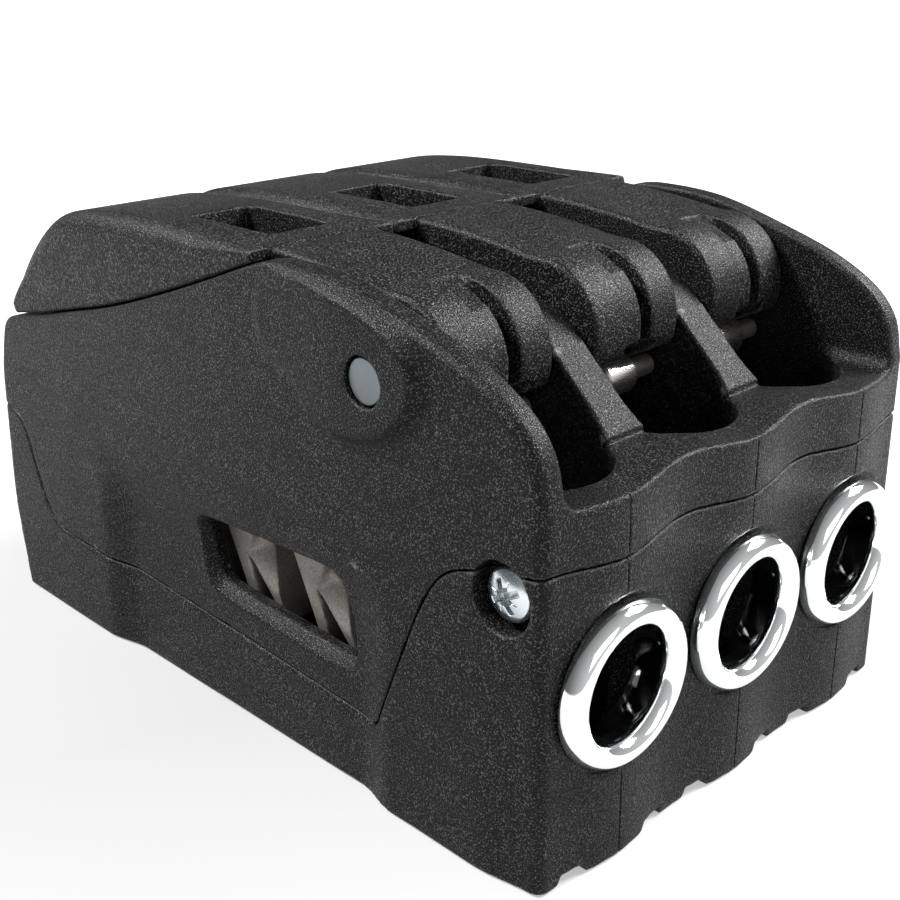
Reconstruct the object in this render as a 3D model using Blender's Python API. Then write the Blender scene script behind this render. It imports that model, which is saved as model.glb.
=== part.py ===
"""Triple rope clutch: three lever-operated clutch modules side by side on one deck base.

Lengths below are in millimetres, measured from the front face (x = 0), the middle
module's centre line (y = 0) and the deck (z = 0).  The ropes run along X, the ferrules
are at the front (+X), the levers hinge about Y.  Every object hangs on one empty that
moves the origin to the middle of the base and scales nothing.
"""

from math import cos, pi, radians, sin, tan

import bmesh
import bpy
from mathutils import Matrix, Vector

MM = 0.001
GAP = 0.3                     # running and assembly gap between touching pieces
BEYOND = 10.0                 # how far a cutter passes the surface it opens

# Overall size
PITCH = 33.0                  # between two rope lines
MODULES = (-1, 0, 1)
REAR_X = -171.2
FERRULE_PROUD = 2.6
LENGTH = FERRULE_PROUD - REAR_X
CHEEK_Y = 50.4                # outer face of the two cheeks, above the waist
ORIGIN_SHIFT = LENGTH / 2 - FERRULE_PROUD

# Channel that each module's lever and dominoes work in
CHANNEL_HALF = 12.45
CHANNEL_REAR = -158.0
POCKET_X = -19.5              # centre of the channel's round front end
FLOOR_Z = 9.0

# Rope line and ferrules
ROPE_Z = 33.3
FERRULE_R = 14.5
FERRULE_BORE = 9.75
FERRULE_TUBE = 11.2
FERRULE_DEPTH = 6.0
COUNTERBORE_R = 15.6
COUNTERBORE_DEPTH = 1.2

# Lever
PIVOT = (-38.5, 79.15)        # (x, z) of the lever pivot pin
PIVOT_R = 4.0
HUB_R = 12.4
HUB_HALF = 11.4
LEVER_HALF = 16.2
STEP_X = -70.5                # where the lever narrows to fit between the dividers
LEVER_SEAM = 0.9              # between a closed lever and the shell below it
SOCKET = (-102.8, -77.3, 6.6)  # rear x, front x and half width of the socket
HUB_SLOT = (0.6, 4.4)         # y range of the slot that the release slide works in
CRANK = (-33.5, 68.5)
CRANK_R = 2.0
CRANK_HALF = 12.0
COLLAR_R = 3.7
COLLAR_Y = (-2.5, 5.2)
SEAT_SLOPE = 26               # degrees, the open front of the crank pin's seat

# Dominoes: tilting plates with a rope hole, hung on cross pins
DOMINO_COUNT = 4
DOMINO_FRONT_X = -76.9
DOMINO_PITCH = 21.8
DOMINO_PIN_Z = 56.0
DOMINO_PIN_R = 1.5
DOMINO_LEAN = radians(24.0)   # closed: lower ends lean towards the front
DOMINO_HALF = 11.5
DOMINO_THICKNESS = 4.6
DOMINO_HOLE = (-22.8, 7.5)    # rope hole: z of its centre from the pin, radius
DOMINO_WINDOW_Z = (-13.4, -5.2)  # opening that the release slide runs through
DOMINO_WINDOW_SPARE = 0.9     # its side clearance
DOMINO_FOOT_Z = -39.5
DOMINO_HEAD_Z = 1.7           # centre of the rounded head
DOMINO_NOSE = 7.5             # reach of the gripping nose, forward of the pin
DOMINO_NOSE_Z = (-27.2, -14.2)  # the nose's lower and upper root, from the pin
DOMINO_TIP_Z = (-22.7, -17.5)  # and its tip

# Release slide
SLIDE_Y = (1.3, 3.7)
SLIDE_Z = (46.0, 50.0)
SLIDE_REAR = -141.0
FINGER = (-45.2, -40.2, 73.0)  # rear x, front x and top z of the crank's finger
LUG = (17.9, 20.4, 42.6)      # from, to ahead of its domino's pin; lower end z

# Fasteners
PIN_BORE_COVER = 1.9          # material left over the ends of the domino pins
CLAMP = (-10.5, 51.2)         # clamp bolt through the front wall, (x, z)
CLAMP_R = 2.5
CLAMP_HEAD_R = 5.0
CLAMP_RECESS_R = 6.05
CLAMP_RECESS = 4.2
NUT_R = 4.6
NUT_HEIGHT = 3.6
DECK_HOLES = (POCKET_X, -150.5)
DECK_HOLE_R = 3.25
DECK_HEAD_R = 6.25
DECK_SEAT_Z = 5.0
NOTCH_Y = 10.2                # drain notches under the front wall, from a module's middle
NOTCH_HEIGHT = 1.8

# Side view of the shells, (x, z) from the rear to the front
SPLIT_LINE = [(-175, 44.4), (-170.2, 43.6), (-164, 42.9), (-160.6, 40.6), (-156.6, 31.6),
              (-152.4, 23.6), (-149, 20.3), (-145, 19.3), (-105, 18.2), (-40.6, 15.0),
              (-33.4, 31.9), (-29.3, 41.8), (-26.2, 47.4), (-23.2, 51.0), (-19, 53.2),
              (-13, 54.6), (-1.8, 57.2), (6, 57.2)]
CHEEK_TOP = [(-173, 43.9), (-171.1, 44.0), (-169.9, 49.0), (-168.2, 55.0), (-165.6, 61.8),
             (-163.4, 64.6), (-159.6, 65.9), (-149, 67.6), (-138.8, 70.3), (-119.3, 74.9),
             (-99.4, 81.2), (-83.5, 86.7), (-70, 91.7), (-64.5, 93.5), (-58, 93.9),
             (-47, 93.5), (-40.1, 92.2), (-33.4, 90.5), (-20.7, 86.9), (-14.8, 84.5),
             (-9.8, 81.9), (-6.4, 79.3), (-4.0, 76.3), (-2.4, 72.8), (-1.2, 68.6), (6, 68.6)]
RAMP_TOP = [(-86, 85.5), (-37.6, 84.8), (-34.6, 84.2), (-31.7, 82.8), (-28.7, 80.5),
            (-25.8, 77.6), (-14.9, 67.0), (6, 70.2)]
REAR_WALL_LOWER = [(REAR_X, 38), (-168.8, 20), (-164.8, 0)]
LEDGE_LOW_Z = 66.1            # front wall's top edge at a module's centre
LEDGE_WAVE = 1.2              # and how much higher it is between two modules

# Side window, (x, z)
WINDOW = [(-93.6, 38.2), (-91.6, 39.7), (-53.5, 42.2), (-49.4, 40.6), (-47.4, 35.6),
          (-46.3, 26.0), (-47.0, 22.6), (-50.0, 21.7), (-86.0, 22.9), (-90.6, 25.0)]


def clamp01(value):
    return min(1.0, max(0.0, value))


def smooth(low, high, value):
    """0 below low, 1 above high, and an even S between them."""
    t = clamp01((value - low) / (high - low))
    return t * t * (3 - 2 * t)


# ---------------------------------------------------------------- scene helpers

for stale in list(bpy.data.objects):
    bpy.data.objects.remove(stale, do_unlink=True)

ROOT = bpy.data.objects.new("clutch_frame", None)
ROOT.location = (ORIGIN_SHIFT * MM, 0, 0)
bpy.context.scene.collection.objects.link(ROOT)


def material(name, colour, roughness, metallic):
    mat = bpy.data.materials.new(name)
    mat.use_nodes = True
    shader = mat.node_tree.nodes["Principled BSDF"]
    shader.inputs["Base Color"].default_value = (*colour, 1)
    shader.inputs["Roughness"].default_value = roughness
    shader.inputs["Metallic"].default_value = metallic
    return mat


BLACK_SHELL = material("black_shell", (0.035, 0.035, 0.037), 0.55, 0)
BLACK_LEVER = material("black_lever", (0.04, 0.04, 0.042), 0.5, 0)
CHROME = material("polished_stainless", (0.86, 0.88, 0.9), 0.08, 1)
STEEL = material("ground_stainless", (0.6, 0.61, 0.62), 0.3, 1)
DOMINO_METAL = material("cast_bronze_grey", (0.3, 0.28, 0.26), 0.45, 1)


def finish(name, bm, mat, pivot=(0, 0, 0), smooth_angle=35):
    """Makes a node from bm (drawn in millimetres); pivot becomes its origin."""
    bmesh.ops.translate(bm, verts=bm.verts, vec=-Vector(pivot))
    bmesh.ops.scale(bm, verts=bm.verts, vec=(MM, MM, MM))
    bmesh.ops.recalc_face_normals(bm, faces=bm.faces)
    mesh = bpy.data.meshes.new(name)
    bm.to_mesh(mesh)
    bm.free()
    mesh.materials.append(mat)
    obj = bpy.data.objects.new(name, mesh)
    obj.parent = ROOT
    obj.location = Vector(pivot) * MM
    bpy.context.scene.collection.objects.link(obj)
    if smooth_angle:
        mesh.shade_smooth()
        mesh.set_sharp_from_angle(angle=radians(smooth_angle))
    return obj


def tool(name, bm):
    """A cutter: it only shapes other objects."""
    obj = finish(name, bm, BLACK_SHELL, smooth_angle=0)
    obj.hide_render = True
    obj.display_type = "WIRE"
    return obj


def combine(obj, other, operation):
    mod = obj.modifiers.new(other.name, "BOOLEAN")
    mod.object = other
    mod.operation = operation
    mod.solver = "EXACT"
    return mod


def prism(outline, y0, y1, bm=None):
    """Extrudes a closed (x, z) outline from y0 to y1."""
    bm = bm or bmesh.new()
    near = [bm.verts.new((x, y0, z)) for x, z in outline]
    far = [bm.verts.new((x, y1, z)) for x, z in outline]
    bm.faces.new(near)
    bm.faces.new(reversed(far))
    for i in range(len(outline)):
        j = (i + 1) % len(outline)
        bm.faces.new((near[j], near[i], far[i], far[j]))
    return bm


def column(outline, z0, z1, bm=None):
    """Extrudes a closed (x, y) outline from z0 to z1."""
    bm = bm or bmesh.new()
    low = [bm.verts.new((x, y, z0)) for x, y in outline]
    high = [bm.verts.new((x, y, z1)) for x, y in outline]
    bm.faces.new(reversed(low))
    bm.faces.new(high)
    for i in range(len(outline)):
        j = (i + 1) % len(outline)
        bm.faces.new((low[i], low[j], high[j], high[i]))
    return bm


def turned(profile, axis, centre, segments=32, bm=None):
    """Revolves a closed (along, radius) profile about axis through centre."""
    bm = bm or bmesh.new()
    rings = []
    for k in range(segments):
        a = 2 * pi * (k + 0.5) / segments
        ring = []
        for along, r in profile:
            p, q = r * cos(a), r * sin(a)
            offset = {"x": (along, p, q), "y": (p, along, q), "z": (p, q, along)}[axis]
            ring.append(bm.verts.new(Vector(centre) + Vector(offset)))
        rings.append(ring)
    for k in range(segments):
        a, b = rings[k], rings[(k + 1) % segments]
        for i in range(len(profile)):
            j = (i + 1) % len(profile)
            bm.faces.new((a[i], a[j], b[j], b[i]))
    return bm


def turned_solid(stations, axis, centre, segments=32):
    """A turned solid with flat ends: stations are (along, radius) from end to end."""
    bm = bmesh.new()
    rings = []
    for along, r in stations:
        ring = []
        for k in range(segments):
            a = 2 * pi * (k + 0.5) / segments
            p, q = r * cos(a), r * sin(a)
            offset = {"x": (along, p, q), "y": (p, along, q), "z": (p, q, along)}[axis]
            ring.append(bm.verts.new(Vector(centre) + Vector(offset)))
        rings.append(ring)
    bm.faces.new(rings[0])
    bm.faces.new(reversed(rings[-1]))
    for a, b in zip(rings, rings[1:]):
        for k in range(segments):
            j = (k + 1) % segments
            bm.faces.new((a[k], a[j], b[j], b[k]))
    return bm


def rod(axis, centre, radius, low, high, segments=32):
    """A plain cylinder about axis through centre, from low to high along it."""
    return turned_solid([(low, radius), (high, radius)], axis, centre, segments)


def shifted(line, distance):
    """Moves an open polyline sideways; a positive distance moves it up."""
    points = [Vector(p) for p in line]
    moved = []
    for i, p in enumerate(points):
        before = points[max(i - 1, 0)]
        after = points[min(i + 1, len(points) - 1)]
        d1 = (p - before).normalized() if i else (after - p).normalized()
        d2 = (after - p).normalized() if i < len(points) - 1 else d1
        normal = Vector((-(d1 + d2).y, (d1 + d2).x)).normalized()
        moved.append(tuple(p + normal * distance / max(0.5, normal.dot((-d1.y, d1.x)))))
    return moved


def height_at(line, x):
    """Height of an open (x, z) line at x."""
    for (x0, z0), (x1, z1) in zip(line, line[1:]):
        if x0 <= x <= x1:
            return z0 + (z1 - z0) * (x - x0) / (x1 - x0)
    return line[-1][1]


# ---------------------------------------------------------------- shells

def side_y(x, z):
    """Half width of the clutch at (x, z): drafted out to the deck, with a waist."""
    draft = (2.2 + 1.8 * clamp01((-x - 30) / 110)) * clamp01(1 - z / 55)
    draft *= 0.2 + 0.8 * smooth(2, 16, -x)
    along = smooth(36, 46, -x) * (1 - smooth(117, 129, -x))
    waist = 2.0 * along * (1 - smooth(32, 47, z))
    return CHEEK_Y + draft - waist


def front_x(y):
    """The front wall swells towards each module's centre line."""
    phase = 2 * pi * (abs(y) / PITCH)
    return -0.85 * (1 - cos(phase)) if abs(y) < 1.5 * PITCH else -1.7


def plan_loop(z):
    """Outline of the clutch in plan at height z, anticlockwise from the front middle."""
    half = []
    steps = 24
    reach = CHEEK_Y - 2.4
    for k in range(steps + 1):
        y = reach * k / steps
        half.append((front_x(y), y))
    corner = side_y(-8, z)
    half += [(-2.3, corner - 1.0), (-3.4, corner - 0.25)]
    for x in (-6, -10, -15, -22, -30, -36, -39, -42, -46, -60, -90, -117, -120, -123,
              -126, -129, -136, -146, -156, -163):
        half.append((x, side_y(x, z)))
    wide = side_y(-163, z)
    half += [(-167.5, wide - 1.3), (-170.2, wide - 4.2), (REAR_X, wide - 8.5)]
    half += [(REAR_X, PITCH), (REAR_X, PITCH / 2)]
    other = [(x, -y) for x, y in reversed(half[1:])]
    return half + [(REAR_X, 0)] + other


def envelope():
    """The whole clutch's outer form below the lever tops, as a stack of plan outlines."""
    bm = bmesh.new()
    levels = (0, 20, 32, 37, 42, 47, 55, 98)
    rings = [[bm.verts.new((x, y, z)) for x, y in plan_loop(z)] for z in levels]
    bm.faces.new(reversed(rings[0]))
    bm.faces.new(rings[-1])
    for low, high in zip(rings, rings[1:]):
        for i in range(len(low)):
            j = (i + 1) % len(low)
            bm.faces.new((low[i], low[j], high[j], high[i]))
    return tool("cut_envelope", bm)


def channel(module):
    """The slot of one module, with its round front end."""
    yc = module * PITCH
    outline = [(CHANNEL_REAR, yc - CHANNEL_HALF)]
    steps = 16
    for k in range(steps + 1):
        a = -pi / 2 + pi * k / steps
        outline.append((POCKET_X + CHANNEL_HALF * cos(a), yc + CHANNEL_HALF * sin(a)))
    outline.append((CHANNEL_REAR, yc + CHANNEL_HALF))
    return tool(f"cut_channel_{module + 2}", column(outline, FLOOR_Z, 120))


def rope_bore(module):
    """Front and rear ferrule seats and the rope's way through both walls."""
    centre = (0, module * PITCH, ROPE_Z)
    bore = FERRULE_TUBE + GAP
    rear_seat = REAR_X + FERRULE_PROUD + COUNTERBORE_DEPTH
    stations = [(BEYOND, COUNTERBORE_R), (-COUNTERBORE_DEPTH, COUNTERBORE_R),
                (-COUNTERBORE_DEPTH, bore), (rear_seat, bore), (rear_seat, COUNTERBORE_R),
                (REAR_X - BEYOND, COUNTERBORE_R)]
    bm = turned_solid(stations, "x", centre, 28)
    return tool(f"cut_rope_{module + 2}", bm)


def ledge_cut():
    """Clears the space above the front wall's waved top, between the two cheeks."""
    inner = PITCH + CHANNEL_HALF
    steps = 36
    wave = []
    for k in range(steps + 1):
        y = -inner + 2 * inner * k / steps
        lift = LEDGE_WAVE * 0.5 * (1 - cos(2 * pi * y / PITCH)) if abs(y) < PITCH else 0
        wave.append((y, LEDGE_LOW_Z + lift))
    outline = wave + [(inner, 120), (-inner, 120)]
    bm = bmesh.new()
    near = [bm.verts.new((-14.9, y, z)) for y, z in outline]
    far = [bm.verts.new((10, y, z)) for y, z in outline]
    bm.faces.new(near)
    bm.faces.new(reversed(far))
    for i in range(len(outline)):
        j = (i + 1) % len(outline)
        bm.faces.new((near[j], near[i], far[i], far[j]))
    return tool("cut_ledge", bm)


def pin_bores():
    """Holes for the lever pivot and the domino pins, across the upper shells."""
    through = CHEEK_Y + BEYOND
    blind = CHEEK_Y - PIN_BORE_COVER
    bores = [rod("y", (PIVOT[0], 0, PIVOT[1]), PIVOT_R + GAP, -through, through)]
    for k in range(DOMINO_COUNT):
        centre = (DOMINO_FRONT_X - k * DOMINO_PITCH, 0, DOMINO_PIN_Z)
        bores.append(rod("y", centre, DOMINO_PIN_R + GAP, -blind, blind, 16))
    return [tool(f"cut_pin_{k}", bm) for k, bm in enumerate(bores)]


def clamp_bores():
    """The clamp bolt's hole, and by side the recess for its head or nut."""
    centre = (CLAMP[0], 0, CLAMP[1])
    outside = CHEEK_Y + BEYOND
    seat = CHEEK_Y - CLAMP_RECESS
    shank = tool("cut_clamp_shank", rod("y", centre, CLAMP_R + GAP, -outside, outside, 20))
    recesses = {}
    for side, low, high in ((-1, -outside, -seat), (1, seat, outside)):
        bm = rod("y", centre, CLAMP_RECESS_R, low, high, 28)
        recesses[side] = tool(f"cut_clamp_recess_{side + 2}", bm)
    return shank, recesses


def deck_bores(module):
    """Screw holes through the floor on one rope line, with a seat for the heads."""
    cutters = []
    for n, x in enumerate(DECK_HOLES):
        centre = (x, module * PITCH, 0)
        hole = rod("z", centre, DECK_HOLE_R, -2, DECK_SEAT_Z + 0.5, 14)
        seat = rod("z", centre, DECK_HEAD_R, DECK_SEAT_Z, FLOOR_Z + 0.5, 16)
        cutters.append(tool(f"cut_deck_{module + 2}_{n}", hole))
        cutters.append(tool(f"cut_head_{module + 2}_{n}", seat))
    return cutters


def windows():
    """The inspection window in each cheek, by side."""
    inside, outside = PITCH + CHANNEL_HALF - 1, CHEEK_Y + BEYOND
    return {-1: tool("cut_window_1", prism(WINDOW, -outside, -inside)),
            1: tool("cut_window_3", prism(WINDOW, inside, outside))}


def feet_notches():
    """Two small drain notches per module under the front wall."""
    bm = bmesh.new()
    for m in MODULES:
        for side in (-1, 1):
            y = m * PITCH + side * NOTCH_Y
            outline = [(y - 3.2, -1), (y - 2.2, NOTCH_HEIGHT), (y + 2.2, NOTCH_HEIGHT),
                       (y + 3.2, -1)]
            near = [bm.verts.new((-9, p, q)) for p, q in outline]
            far = [bm.verts.new((6, p, q)) for p, q in outline]
            bm.faces.new(near)
            bm.faces.new(reversed(far))
            for i in range(4):
                j = (i + 1) % 4
                bm.faces.new((near[j], near[i], far[i], far[j]))
    return tool("cut_notches", bm)


def lower_outline():
    """Side view of a base: from the rear wall under the split line to the front."""
    top = [p for p in shifted(SPLIT_LINE, -GAP / 2) if p[0] > -171]
    return [(REAR_X, 43.3), *top, (6, 0), *reversed(REAR_WALL_LOWER)]


def upper_outline(top_line):
    """Side view of a cheek or divider: top line forward, split line back."""
    bottom = shifted(SPLIT_LINE, GAP / 2)
    return [*top_line, *reversed([p for p in bottom if p[0] > -173])]


def divider_top():
    """A divider follows the cheeks under the levers, then falls to its front ramp."""
    return [p for p in CHEEK_TOP if p[0] < RAMP_TOP[0][0]] + RAMP_TOP


def shells():
    """Four upper shells on four bases, parted along the modules' centre lines."""
    hull = envelope()
    ledge = ledge_cut()
    notches = feet_notches()
    pins = pin_bores()
    shank, recesses = clamp_bores()
    side_windows = windows()
    inside = {m: [channel(m), rope_bore(m)] for m in MODULES}
    deck = {m: deck_bores(m) for m in MODULES}
    uppers = ("cheek_left", "divider_a", "divider_b", "cheek_right")
    bases = ("base_left", "base_mid_a", "base_mid_b", "base_right")
    outside = CHEEK_Y + BEYOND
    partings = (-outside, -PITCH, 0, PITCH, outside)
    for k, (low, high) in enumerate(zip(partings, partings[1:])):
        side = {0: -1, 3: 1}.get(k)
        y0, y1 = low + GAP / 2, high - GAP / 2
        borders = [m for m in MODULES if low <= m * PITCH <= high]
        top_line = CHEEK_TOP if side else divider_top()
        upper = finish(uppers[k], prism(upper_outline(top_line), y0, y1), BLACK_SHELL)
        base = finish(bases[k], prism(lower_outline(), y0, y1), BLACK_SHELL)
        shared = [shank] + [cutter for m in borders for cutter in inside[m]]
        upper_only = [ledge, *pins]
        base_only = [notches] + [cutter for m in borders for cutter in deck[m]]
        if side:
            shared.append(recesses[side])
            upper_only.append(side_windows[side])
        for shell, cutters in ((upper, shared + upper_only), (base, shared + base_only)):
            combine(shell, hull, "INTERSECT")
            for cutter in cutters:
                combine(shell, cutter, "DIFFERENCE")


# ---------------------------------------------------------------- ferrules and pins

def ferrules():
    """Turned stainless rings: a round lip outside and a short tube in the wall."""
    lip = (FERRULE_R - FERRULE_BORE) / 2
    middle = FERRULE_BORE + lip
    back = -COUNTERBORE_DEPTH + GAP
    arc = []
    for k in range(5):
        a = pi * k / 4
        arc.append((FERRULE_PROUD - lip + lip * sin(a), middle - lip * cos(a)))
    profile = [(-FERRULE_DEPTH, FERRULE_BORE), *arc, (back, FERRULE_R), (back, FERRULE_TUBE),
               (-FERRULE_DEPTH, FERRULE_TUBE)]
    for m in MODULES:
        centre = (0, m * PITCH, ROPE_Z)
        finish(f"front_ferrule_{m + 2}", turned(profile, "x", centre, 20), CHROME)
        mirrored = [(REAR_X + FERRULE_PROUD - s, r) for s, r in profile]
        finish(f"rear_ferrule_{m + 2}", turned(mirrored, "x", centre, 20), CHROME)


def cross_pins():
    """Pivot pin, domino pins and the clamp bolt with its nut."""
    reach = CHEEK_Y - 0.2
    finish("pivot_pin", rod("y", (PIVOT[0], 0, PIVOT[1]), PIVOT_R, -reach, reach), STEEL)
    for k in range(DOMINO_COUNT):
        x = DOMINO_FRONT_X - k * DOMINO_PITCH
        end = CHEEK_Y - PIN_BORE_COVER - GAP
        bm = rod("y", (x, 0, DOMINO_PIN_Z), DOMINO_PIN_R, -end, end, 16)
        finish(f"domino_pin_{k + 1}", bm, STEEL)
    seat = CHEEK_Y - CLAMP_RECESS + GAP
    shank_end = seat + NUT_HEIGHT - 0.6
    bolt = [(shank_end, CLAMP_R), (-seat, CLAMP_R), (-seat, CLAMP_HEAD_R),
            (-seat - 1.6, CLAMP_HEAD_R), (-seat - 2.7, CLAMP_HEAD_R - 1.1),
            (-seat - 3.2, CLAMP_HEAD_R - 2.6)]
    finish("clamp_bolt", turned_solid(bolt, "y", (CLAMP[0], 0, CLAMP[1]), 24), STEEL)
    inner = (CLAMP_R + GAP) / cos(pi / 6)
    nut = [(seat, inner), (seat, NUT_R), (seat + NUT_HEIGHT, NUT_R), (seat + NUT_HEIGHT, inner)]
    finish("clamp_nut", turned(nut, "y", (CLAMP[0], 0, CLAMP[1]), 6), STEEL)


# ---------------------------------------------------------------- levers

def lever_wide():
    """Side view of the lever's broad rear part."""
    top = [(-162.4, 67.6), (-161.2, 70.4), (-156.8, 76.3), (-150, 82.8), (-143.6, 87.5),
           (-137, 90.7), (-129, 92.4), (-118, 93.5), (-107, 94.0), (-84, 94.4),
           (STEP_X, 94.2)]
    under = [(x, z + LEVER_SEAM) for x, z in CHEEK_TOP if -160 < x < STEP_X]
    return top + [(STEP_X, height_at(CHEEK_TOP, STEP_X) + LEVER_SEAM)] + under[::-1]


def lever_narrow():
    """Side view of the lever between the dividers: arm and hub."""
    px, pz = PIVOT
    hub = [(px + HUB_R * cos(radians(a)), pz + HUB_R * sin(radians(a)))
           for a in range(84, -151, -9)]
    return [(-112, 93.2), (-84, 93.9), (STEP_X, 94.2), (-60, 93.7), (-50, 92.8), (-42, 91.8),
            *hub, (-62, 76.5), (-90, 81.5), (-112, 81.5)]


def hub_slot():
    """Sector cut out of the hub's middle, open over the front and below."""
    px, pz = PIVOT
    inner, outer = 5.6, 20
    angles = range(95, -181, -11)
    ring = [(px + outer * cos(radians(a)), pz + outer * sin(radians(a))) for a in angles]
    core = [(px + inner * cos(radians(a)), pz + inner * sin(radians(a))) for a in angles]
    return ring + core[::-1]


def crank_seat(radius):
    """Outline of a seat round the crank pin: open downwards, and forward up a slope."""
    cx, cz = CRANK
    arc = [(cx + radius * cos(radians(a)), cz + radius * sin(radians(a)))
           for a in (90 + SEAT_SLOPE, 132, 148, 164, 180)]
    reach = 14
    rise = reach * tan(radians(SEAT_SLOPE))
    return [(arc[0][0] + reach, arc[0][1] + rise), *arc, (cx - radius, cz - reach),
            (arc[0][0] + reach, cz - reach)]


def levers():
    wide = lever_wide()
    narrow = lever_narrow()
    for m in MODULES:
        n = m + 2
        yc = m * PITCH
        pivot = (PIVOT[0], yc, PIVOT[1])
        obj = finish(f"lever_{n}", prism(wide, yc - LEVER_HALF, yc + LEVER_HALF),
                     BLACK_LEVER, pivot)
        arm = tool(f"cut_arm_{n}", prism(narrow, yc - HUB_HALF, yc + HUB_HALF))
        combine(obj, arm, "UNION")
        rear, front, half = SOCKET
        hole = [(rear, 60), (front, 60), (front, 110), (rear, 110)]
        combine(obj, tool(f"cut_socket_{n}", prism(hole, yc - half, yc + half)), "DIFFERENCE")
        slot = prism(hub_slot(), yc + HUB_SLOT[0], yc + HUB_SLOT[1])
        combine(obj, tool(f"cut_slot_{n}", slot), "DIFFERENCE")
        seat = prism(crank_seat(CRANK_R + GAP), yc - 20, yc + 20)
        combine(obj, tool(f"cut_seat_{n}", seat), "DIFFERENCE")
        low, high = COLLAR_Y
        seat = prism(crank_seat(COLLAR_R + GAP), yc + low - GAP, yc + high + GAP)
        combine(obj, tool(f"cut_collar_seat_{n}", seat), "DIFFERENCE")
        bore = rod("y", (PIVOT[0], yc, PIVOT[1]), PIVOT_R + GAP, -20, 20)
        combine(obj, tool(f"cut_bore_{n}", bore), "DIFFERENCE")
        crank = (CRANK[0], yc, CRANK[1])
        pin = rod("y", crank, CRANK_R, -CRANK_HALF, CRANK_HALF, 20)
        finish(f"crank_pin_{n}", pin, STEEL, pivot)
        inner = CRANK_R + GAP
        profile = [(low, inner), (low, COLLAR_R), (high, COLLAR_R), (high, inner)]
        finish(f"crank_collar_{n}", turned(profile, "y", crank, 24), CHROME, pivot)


# ---------------------------------------------------------------- dominoes and slide

def domino_outline():
    """Side view of an upright domino hung at (0, 0), rope hole left out."""
    t = DOMINO_THICKNESS / 2
    head = [(t * cos(radians(a)), DOMINO_HEAD_Z + t * sin(radians(a)))
            for a in (0, 45, 90, 135, 180)]
    low, high = DOMINO_NOSE_Z
    tip_low, tip_high = DOMINO_TIP_Z
    nose = [(t, low), (DOMINO_NOSE, tip_low), (DOMINO_NOSE, tip_high), (t, high)]
    return [(-t, DOMINO_FOOT_Z), (t, DOMINO_FOOT_Z), *nose, *head]


def domino_cutters():
    """Rope hole, slide window and pin bore, drawn like the outline."""
    low, high = DOMINO_WINDOW_Z
    window = [(-20, low), (20, low), (20, high), (-20, high)]
    spare = DOMINO_WINDOW_SPARE
    return {"hole": rod("x", (0, 0, DOMINO_HOLE[0]), DOMINO_HOLE[1], -20, 20, 20),
            "window": prism(window, SLIDE_Y[0] - spare, SLIDE_Y[1] + spare),
            "bore": rod("y", (0, 0, 0), DOMINO_PIN_R + GAP, -20, 20, 16)}


def dominoes():
    lean = Matrix.Rotation(-DOMINO_LEAN, 4, "Y")
    for m in MODULES:
        for k in range(DOMINO_COUNT):
            name = f"{m + 2}_{k + 1}"
            pivot = Vector((DOMINO_FRONT_X - k * DOMINO_PITCH, m * PITCH, DOMINO_PIN_Z))
            place = Matrix.Translation(pivot) @ lean
            plate = prism(domino_outline(), -DOMINO_HALF, DOMINO_HALF)
            plate.transform(place)
            obj = finish(f"domino_{name}", plate, DOMINO_METAL, tuple(pivot))
            for label, cutter in domino_cutters().items():
                cutter.transform(place)
                combine(obj, tool(f"cut_domino_{label}_{name}", cutter), "DIFFERENCE")


def slide_outline():
    """Flat bar with a lug ahead of each domino and the crank's finger in front."""
    low, high = SLIDE_Z
    finger_rear, finger_front, finger_top = FINGER
    outline = [(SLIDE_REAR, high), (finger_rear, high), (finger_rear, finger_top),
               (finger_front, finger_top), (finger_front, low)]
    for k in range(DOMINO_COUNT):
        pin_x = DOMINO_FRONT_X - k * DOMINO_PITCH
        lug_rear, lug_front, lug_low = pin_x + LUG[0], pin_x + LUG[1], LUG[2]
        outline += [(lug_front, low), (lug_front, lug_low), (lug_rear, lug_low), (lug_rear, low)]
    return outline + [(SLIDE_REAR, low)]


def slides():
    for m in MODULES:
        yc = m * PITCH
        bar = prism(slide_outline(), yc + SLIDE_Y[0], yc + SLIDE_Y[1])
        finish(f"release_slide_{m + 2}", bar, STEEL)


shells()
ferrules()
cross_pins()
levers()
dominoes()
slides()
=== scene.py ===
"""Looks of the triple rope clutch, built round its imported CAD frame.

Lengths are in millimetres.  x is measured from the front face, as in the CAD source, y
from the middle of the clutch and z from the deck; meshes are moved into the frame and
scaled to metres when they are made.  The moulded pieces are solids held as distance
fields (negative inside), so that every edge gets its moulded radius, and are then meshed.
"""

from math import cos, pi, radians, sin

import bpy
import numpy as np
from mathutils import Matrix, Vector


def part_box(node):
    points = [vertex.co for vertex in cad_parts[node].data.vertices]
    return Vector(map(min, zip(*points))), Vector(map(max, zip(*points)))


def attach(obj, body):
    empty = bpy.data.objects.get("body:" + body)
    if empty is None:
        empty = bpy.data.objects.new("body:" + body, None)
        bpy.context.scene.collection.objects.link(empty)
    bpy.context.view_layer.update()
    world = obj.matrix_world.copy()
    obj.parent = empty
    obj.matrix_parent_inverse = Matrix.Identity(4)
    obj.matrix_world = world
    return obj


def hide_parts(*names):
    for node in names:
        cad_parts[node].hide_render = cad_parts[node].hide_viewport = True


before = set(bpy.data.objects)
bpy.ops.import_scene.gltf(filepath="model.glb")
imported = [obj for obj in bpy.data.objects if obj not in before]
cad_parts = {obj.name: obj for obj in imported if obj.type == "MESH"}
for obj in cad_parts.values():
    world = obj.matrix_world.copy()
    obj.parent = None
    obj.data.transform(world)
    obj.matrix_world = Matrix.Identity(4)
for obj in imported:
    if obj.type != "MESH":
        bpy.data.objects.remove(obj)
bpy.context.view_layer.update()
MM = 0.001


# ---------------------------------------------------------------- places from the frame

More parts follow.
